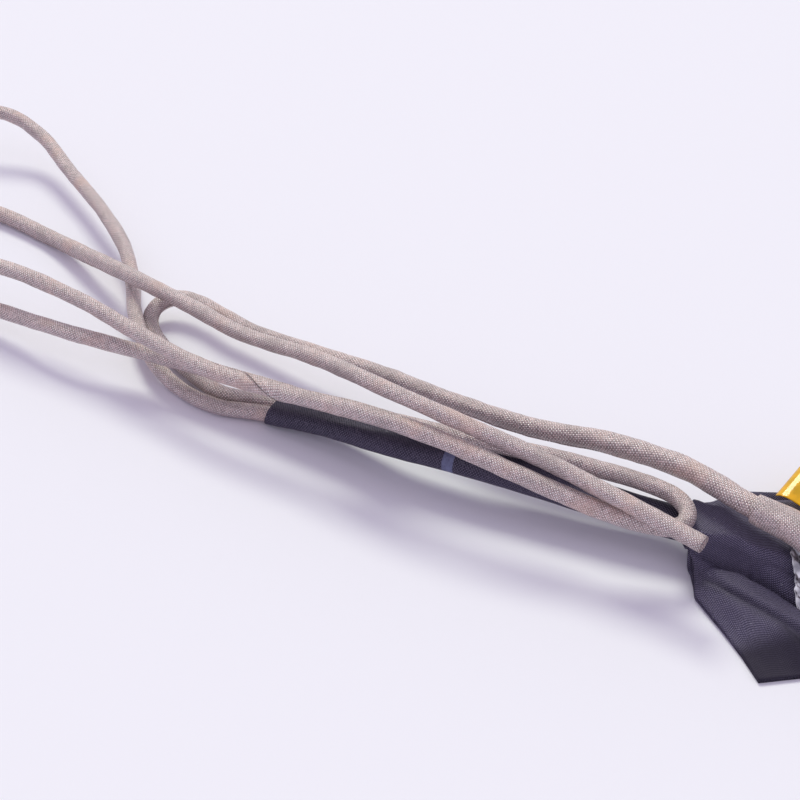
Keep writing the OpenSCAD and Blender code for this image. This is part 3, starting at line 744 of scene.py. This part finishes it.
def tape_station(share):
    u = Vector((math.cos(TAPE_TURN), math.sin(TAPE_TURN), 0))
    v = Vector((math.sin(TAPE_TURN), -math.cos(TAPE_TURN), 0))
    foot, mid = lookup(TAPE_FOOT, share), lookup(TAPE_MID, share)
    wide = min(mix(*POCKET_WIDE, clamp(share / 0.88) ** 1.3), foot - mid - 0.0004)
    return (
        TAPE_CORNER + u * TAPE_LONG * share, v, u * (1 - share) ** 2, TAPE_CUT,
        mid, lookup(TAPE_Z, share), wide, mix(*POCKET_TALL, clamp(share / 0.8)),
        mix(*POCKET_SQUARE, share), foot, max(TAPE_WIDE, foot + 0.0005), TAPE_TAIL_Z,
    )


def tape_relief(share, t, width):
    """The tail's terrace, which a second crease ends, and the tape's soft waves."""
    foot = lookup(TAPE_FOOT, share)
    crease = CREASE_FROM + share * CREASE_SLOPE - 0.0006 * (1 - ease(share / 0.1))
    crest = crease + mix(0.002, 0.003, ease(share / 0.14))
    dome_rise = min(DOME_RISE[1], max(DOME_RISE[0], (width - crease - 0.0028) * 0.35))
    # The terrace narrows to nothing at the tape's left edge
    terrace = TERRACE_RISE * ease((crease - RIM_BEFORE - foot) / TERRACE_RUN)
    rim = max(foot + 0.0003, crease - RIM_BEFORE)
    valley = max(rim + 0.0004, crease + 0.0006)
    knots = [
        (foot, 0), (min(foot + TERRACE_RUN, rim - 0.0001), terrace), (rim, terrace),
        (valley, min(0.0009, terrace)), (max(valley + 0.001, crest), dome_rise),
        (max(foot + 0.006, width), 0),
    ]
    rise = 0
    for (low, before), (high, after) in zip(knots, knots[1:]):
        if low < t <= high:
            rise = mix(before, after, ease((t - low) / (high - low)))
    rise *= ease((share + 0.02) / 0.1)
    # Near the left edge the tail hangs from the pocket's side, and reaches the table further out
    hang = HANG_RISE * (1 - ease(share / HANG_SHARE))
    hang = hang * ease((t - foot + HANG_START) / HANG_START)
    rise = max(rise, hang * (1 - ease((t - foot) / HANG_REACH)))
    waves = noise.noise(Vector((share * 3.1, t * 260, 2))) * 0.00016
    fine = noise.noise(Vector((share * 9, t * 900, 8))) * 0.00005
    return max(0, (rise + waves + fine) * clamp((width - t) / 0.0012))


def down_tape(x, y):
    """How far a place is from the tape's folded edge towards its tail."""
    return (x - TAPE_CORNER.x) * math.sin(TAPE_TURN) - (y - TAPE_CORNER.y) * math.cos(TAPE_TURN)


count = 80
stations = [(i / count, tape_station(i / count)) for i in range(count + 1)]
rows = pouch_rows(stations, TAPE_LAYER, tape_relief)
for (share, _), row in zip(stations, rows):
    for p in row:
        down = down_tape(p.x, p.y)
        p.z += lookup(TAPE_EDGE_LIFT, share) * (1 - ease((down + 0.0003) / 0.0028))
wide_tape = cloth_sheet("wide_tape_cloth", rows, 0.00021)
material, shader, start, cloth, _ = black_cloth("wide_tape_cloth", 0.00014, 0.00013, 1.36)
# The double tail is painted darker towards its tip and along the fold of its crease: painted shade
# of the tail sloping away from the lamp and of the fold.
x, y = split(start.node("TexCoord", {}, out="Object"))
down = down_tape(x, y)
tip_shade = down.between(0.0175, 0.0205) * 0.8
along = (x - TAPE_CORNER.x) * math.cos(TAPE_TURN) + (y - TAPE_CORNER.y) * math.sin(TAPE_TURN)
fold = down - along * 1.2
crease_shade = fold.between(0.0095, 0.0112) * fold.between(0.0138, 0.0122) * 0.35
shaded_tape_cloth = (1 - (1 - tip_shade) * (1 - crease_shade)).blend(cloth, rgb(34, 31, 42))
start.plug(shader.inputs["Base Color"], shaded_tape_cloth)
finish(wide_tape, material, "black_cloth_tape", "wide_tape")

# ---- Ground foil ----
# A torn patch of silvered foil on paper backing, stuck over the wide tape under the main strand.
# It was pulled off something once, and is crumpled.

FOIL_X = 0.0518
FOIL_LONG = 0.012
FOIL_TORN = [
    (-0.0098, 0.0053), (-0.0075, 0.0035), (-0.006, 0.0022), (-0.0045, 0.0013), (-0.003, 0.0004),
    (-0.0016, -0.0003), (-0.001, 0),
]
FILM_LIFT = 0.0003
tape_tops = []
for row in pouch_rows(stations, TAPE_LAYER, lambda share, t, width: 0):
    tape_tops += row[len(row) // 2 + 1:]
tape_plan = kdtree.KDTree(len(tape_tops))
for i, p in enumerate(tape_tops):
    tape_plan.insert((p.x, p.y, 0), i)
tape_plan.balance()


def over_tape(x, y):
    """The height of the wide tape's upper face near a place, or at its nearest edge."""
    near = tape_plan.find_range((x, y, 0), 0.001) or [tape_plan.find((x, y, 0))]
    return max(tape_tops[i].z for _, i, _ in near) + TAPE_LAYER / 2


rows = []
for j in range(61):
    y = mix(-0.0098, -0.0012, j / 60)
    jag = 0.00035 * noise.noise(Vector((y * 1500, 3, 0)))
    jag += 0.0006 * noise.noise(Vector((y * 420, 8, 0)))
    left = FOIL_X + lookup(FOIL_TORN, y) + jag
    row = []
    for k in range(61):
        x = mix(left, FOIL_X + FOIL_LONG, k / 60)
        lift = FILM_LIFT + 0.0001
        crumple = abs(noise.noise(Vector((x * 600, y * 600, 4)))) * 0.0008
        crumple += abs(noise.noise(Vector((x * 2100, y * 2100, 6)))) * 0.00012
        curl = 0.0007 * max(0, 1 - k / 9) ** 2 * (0.6 + noise.noise(Vector((y * 600, 1, 1))))
        row.append(Vector((x, y, over_tape(x, y) + lift + crumple + curl)))
    rows.append(row)
foil = cloth_sheet("ground_foil_sheet", rows, 0.00008)
material, shader, start = new_material("crumpled_foil", Roughness=0.28)
place = start.node("TexCoord", {}, out="Object")
ragged = start.node("TexNoise", {}, {"Vector": place, "Scale": 2400.0, "Detail": 3.0})
start.plug(shader.inputs["Metallic"], 1.0)
crumpled = start.node("TexVoronoi", {"feature": "F1"}, {"Vector": place, "Scale": 900.0})
# The foil is painted lighter in the middle of each crumple and darker towards its creases: painted
# highlight and painted shade of the crumpling.
crumple_shaded_silver = crumpled.between(0.1, 0.8).blend(rgb(216, 214, 222), rgb(132, 130, 140))
start.plug(shader.inputs["Base Color"], crumple_shaded_silver)
start.plug(shader.inputs["Roughness"], 0.2 + ragged * 0.25)
bump = start.node("Bump", {}, {
    "Strength": 0.6, "Distance": 0.00015, "Height": crumpled + ragged * 0.4,
})
start.plug(shader.inputs["Normal"], bump)
finish(foil, material, "foil", "ground_foil")

# ---- Amber film ----
# A strip of polyimide film, glossy and stiff, that holds the main strand to the board plug's
# back. Its free corner has come unstuck and curls up, and its glue has clouded it.

AMBER_X = 0.0486
AMBER_Y = 0.000013
AMBER_LONG = 0.017
AMBER_WIDE = 0.011
AMBER_FRONT = [(0, 0.0016), (0.004, 0.0012), (0.008, 0.0008), (0.012, 0.0003), (0.022, 0)]
rows = []
for j in range(56):
    f = j / 55
    row = []
    for k in range(71):
        along = k / 70
        x = AMBER_LONG * along
        y = AMBER_Y + lookup(AMBER_FRONT, x) + AMBER_WIDE * f
        row.append(Vector((AMBER_X + x + 0.0014 * f, y, 0)))
    rows.append(row)
base = [[over_tape(p.x, p.y) for p in row] for row in rows]
for _ in range(120):
    base = [
        [
            (near[max(k - 1, 0)] + near[min(k + 1, 70)] + before[k] + after[k]) / 4
            for k in range(71)
        ]
        for near, before, after in zip(base, [base[0], *base], [*base[1:], base[-1]])
    ]
for j, (row, heights) in enumerate(zip(rows, base)):
    for k, (p, height) in enumerate(zip(row, heights)):
        # The left edge has sprung up and bends over, so that a narrow strip of it lies level
        f, x = j / 55, AMBER_LONG * k / 70
        sprung = 0.0067 + 0.0014 * f + 0.17 * min(x, 0.0012) - 0.0002 * (1 - ease(x / 0.0005))
        ripple = noise.noise(Vector((p.x * 330, p.y * 240, 5))) * 0.0003
        ripple += noise.noise(Vector((p.x * 1100, p.y * 900, 1))) * 0.0001
        hold = 1 - ease((x - 0.0011) / 0.009)
        p.z = mix(height + FILM_LIFT + 0.0001, sprung, hold) + ripple * (1.02 - hold)
amber = cloth_sheet("amber_film_sheet", rows, 0.00008)
material, shader, start = new_material(
    "polyimide_film", Roughness=0.3, Specular_IOR_Level=0.1, Coat_Weight=0.5, Coat_Roughness=0.05,
)
place = start.node("TexCoord", {}, out="Object")
glue = start.node("TexNoise", {}, {"Vector": place, "Scale": 420.0, "Detail": 5.0})
depth = start.node("TexNoise", {}, {"Vector": place, "Scale": 160.0, "Detail": 2.0})
film = glue.between(0.42, 0.68).blend(rgb(238, 176, 0), rgb(200, 152, 0))
film = (depth.between(0.45, 0.7) * 0.6).blend(film, rgb(252, 200, 12))
start.plug(shader.inputs["Base Color"], film)
bump = start.node("Bump", {}, {"Strength": 0.15, "Distance": 0.0002, "Height": glue})
start.plug(shader.inputs["Normal"], bump)
finish(amber, material, "amber_film", "amber_film")

# ---- Wires ----
# Fine coaxial and hook-up wires with pale fluoropolymer jackets, fanned out from each strand's
# end to the contacts of its plug.


def dress(node, material):
    """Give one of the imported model's nodes its finish."""
    for place in bpy.data.objects[node].material_slots:
        place.material = material


JACKETS = [rgb(236, 230, 216), rgb(214, 218, 226), rgb(196, 204, 216), rgb(228, 214, 190)]
for node, seed in (("board_wires", 3.0), ("display_wires", 8.0)):
    material, shader, start = new_material(node + "_jacket", Roughness=0.32, Coat_Weight=0.3)
    loose = start.node("NewGeometry", {}, out="Random Per Island")
    pick = start.node("TexWhiteNoise", {"noise_dimensions": "1D"}, {"W": loose * 90.0 + seed})
    jacket = pick.between(0.45, 0.55).blend(JACKETS[0], JACKETS[1])
    jacket = pick.between(0.7, 0.75).blend(jacket, JACKETS[2])
    jacket = pick.between(0.24, 0.2).blend(jacket, JACKETS[3])
    place = start.node("TexCoord", {}, out="Object")
    dull = start.node("TexNoise", {}, {"Vector": place, "Scale": 900.0, "Detail": 2.0})
    start.plug(shader.inputs["Base Color"], (dull * 0.25).blend(jacket, rgb(190, 182, 168)))
    start.plug(shader.inputs["Roughness"], 0.25 + dull * 0.2)
    dress(node, material)

# ---- Board plug ----
# An ivory moulded housing with two rows of crimped contacts, held by a thin pressed-steel shell
# with three windows. The moulding has a fine spark-eroded skin.

material, shader, start = new_material("ivory_moulding", Roughness=0.45, Subsurface_Weight=0.06)
shader.inputs["Subsurface Radius"].default_value = (0.0008, 0.0006, 0.0004)
place = start.node("TexCoord", {}, out="Object")
grain = start.node("TexNoise", {}, {"Vector": place, "Scale": 9000.0, "Detail": 2.0})
cast = start.node("TexNoise", {}, {"Vector": place, "Scale": 240.0, "Detail": 3.0})
start.plug(
    shader.inputs["Base Color"],
    cast.between(0.35, 0.7).blend(rgb(232, 226, 208), rgb(218, 208, 184)),
)
start.plug(shader.inputs["Roughness"], 0.36 + grain * 0.2)
bump = start.node("Bump", {}, {"Strength": 0.2, "Distance": 0.00002, "Height": grain})
start.plug(shader.inputs["Normal"], bump)
dress("board_plug_housing", material)

material, shader, start = new_material("plated_contact", Metallic=1.0, Roughness=0.25)
place = start.node("TexCoord", {}, out="Object")
plating = start.node("TexNoise", {}, {"Vector": place, "Scale": 1400.0, "Detail": 3.0})
start.plug(
    shader.inputs["Base Color"],
    plating.between(0.4, 0.65).blend(rgb(232, 190, 104), rgb(214, 196, 160)),
)
start.plug(shader.inputs["Roughness"], 0.18 + plating * 0.2)
bump = start.node("Bump", {}, {"Strength": 0.15, "Distance": 0.00002, "Height": plating})
start.plug(shader.inputs["Normal"], bump)
contact_metal = material
dress("board_plug_contacts", contact_metal)

material, shader, start = new_material("pressed_shell", Metallic=1.0, Roughness=0.3)
place = start.node("TexCoord", {}, out="Object")
rolled = start.node("Mapping", {}, {
    "Vector": place, "Rotation": (0, 0, 0.7), "Scale": (300.0, 9000.0, 900.0),
})
lines = start.node("TexNoise", {}, {"Vector": rolled, "Scale": 1.0, "Detail": 3.0})
touch = start.node("TexNoise", {}, {"Vector": place, "Scale": 380.0, "Detail": 4.0})
shell = lines.between(0.3, 0.7).blend(rgb(196, 196, 200), rgb(222, 222, 226))
start.plug(
    shader.inputs["Base Color"],
    (touch.between(0.55, 0.75) * 0.4).blend(shell, rgb(168, 160, 150)),
)
start.plug(shader.inputs["Roughness"], 0.22 + touch * 0.25)
bump = start.node("Bump", {}, {"Strength": 0.12, "Distance": 0.00002, "Height": lines})
start.plug(shader.inputs["Normal"], bump)
shell_metal = material
dress("board_plug_shell", shell_metal)

# ---- Display tape ----
# A shorter piece of acetate-cloth tape, folded over the main strand's end and the fan of fine
# wires, and stuck to the back of the display plug.

DISPLAY_REAR = Vector((0.0886, -0.0082, 0))
DISPLAY_TURN = math.radians(-4)
DISPLAY_TAPE_LONG = 0.010
DISPLAY_WALL = 0.00012


def display_station(share):
    u = Vector((math.cos(DISPLAY_TURN), math.sin(DISPLAY_TURN), 0))
    v = Vector((math.sin(DISPLAY_TURN), -math.cos(DISPLAY_TURN), 0))
    half = mix(0.0019, 0.001, clamp(share / 0.9))
    wide = mix(half / 0.74, 0.0096 / 0.88, clamp(share / 0.7) ** 1.2)
    edge = wide + DISPLAY_WALL
    corner = DISPLAY_REAR + u * (0.001 - DISPLAY_TAPE_LONG * (1 - share)) - v * edge
    return (
        corner, v, u * 0, [(0, 0), (0.001, 0)], edge, DISPLAY_WALL + half, wide, half,
        mix(*POCKET_SQUARE, share), 2 * wide + 0.0005, 2 * wide + 0.001, DISPLAY_WALL + half,
    )


def display_relief(share, t, width):
    """The short tape's soft waves."""
    return 0.00005 * noise.noise(Vector((share * 6, t * 700, 4)))


count = 44
stations = [(i / count, display_station(i / count)) for i in range(count + 1)]
rows = pouch_rows(stations, DISPLAY_WALL, display_relief, (4, 44, 6))
display_tape = cloth_sheet("display_tape_cloth", rows, 0.0001)
material, _, _, _, _ = black_cloth("display_tape_cloth", 0.0002, 0.0002)
finish(display_tape, material, "black_cloth_tape", "display_tape")

# ---- Display plug ----
# A slim dark moulding under a pressed shell, with one row of fine contacts that the wires are
# soldered to, a ground bar above and below them, and a clear pull tab stuck on top.

material, shader, start = new_material("dark_moulding", Roughness=0.4)
place = start.node("TexCoord", {}, out="Object")
grain = start.node("TexNoise", {}, {"Vector": place, "Scale": 8000.0, "Detail": 2.0})
fibre = start.node("TexNoise", {}, {"Vector": place, "Scale": 1300.0, "Detail": 4.0})
start.plug(
    shader.inputs["Base Color"],
    fibre.between(0.35, 0.7).blend(rgb(30, 29, 28), rgb(48, 46, 44)),
)
start.plug(shader.inputs["Roughness"], 0.32 + grain * 0.22)
bump = start.node("Bump", {}, {"Strength": 0.2, "Distance": 0.00002, "Height": grain})
start.plug(shader.inputs["Normal"], bump)
dress("display_plug_housing", material)
dress("display_plug_contacts", contact_metal)
dress("display_plug_shell", shell_metal)
dress("display_ground_bars", shell_metal)

material, shader, start = new_material("clear_pull_film", Roughness=0.12, Coat_Weight=0.5, IOR=1.5)
place = start.node("TexCoord", {}, out="Object")
handled = start.node("TexNoise", {}, {"Vector": place, "Scale": 500.0, "Detail": 4.0})
start.plug(
    shader.inputs["Base Color"],
    handled.between(0.4, 0.7).blend(rgb(226, 232, 238), rgb(206, 214, 222)),
)
start.plug(shader.inputs["Alpha"], 0.5 + handled * 0.25)
start.plug(shader.inputs["Roughness"], 0.08 + handled * 0.2)
dress("display_pull_tab", material)
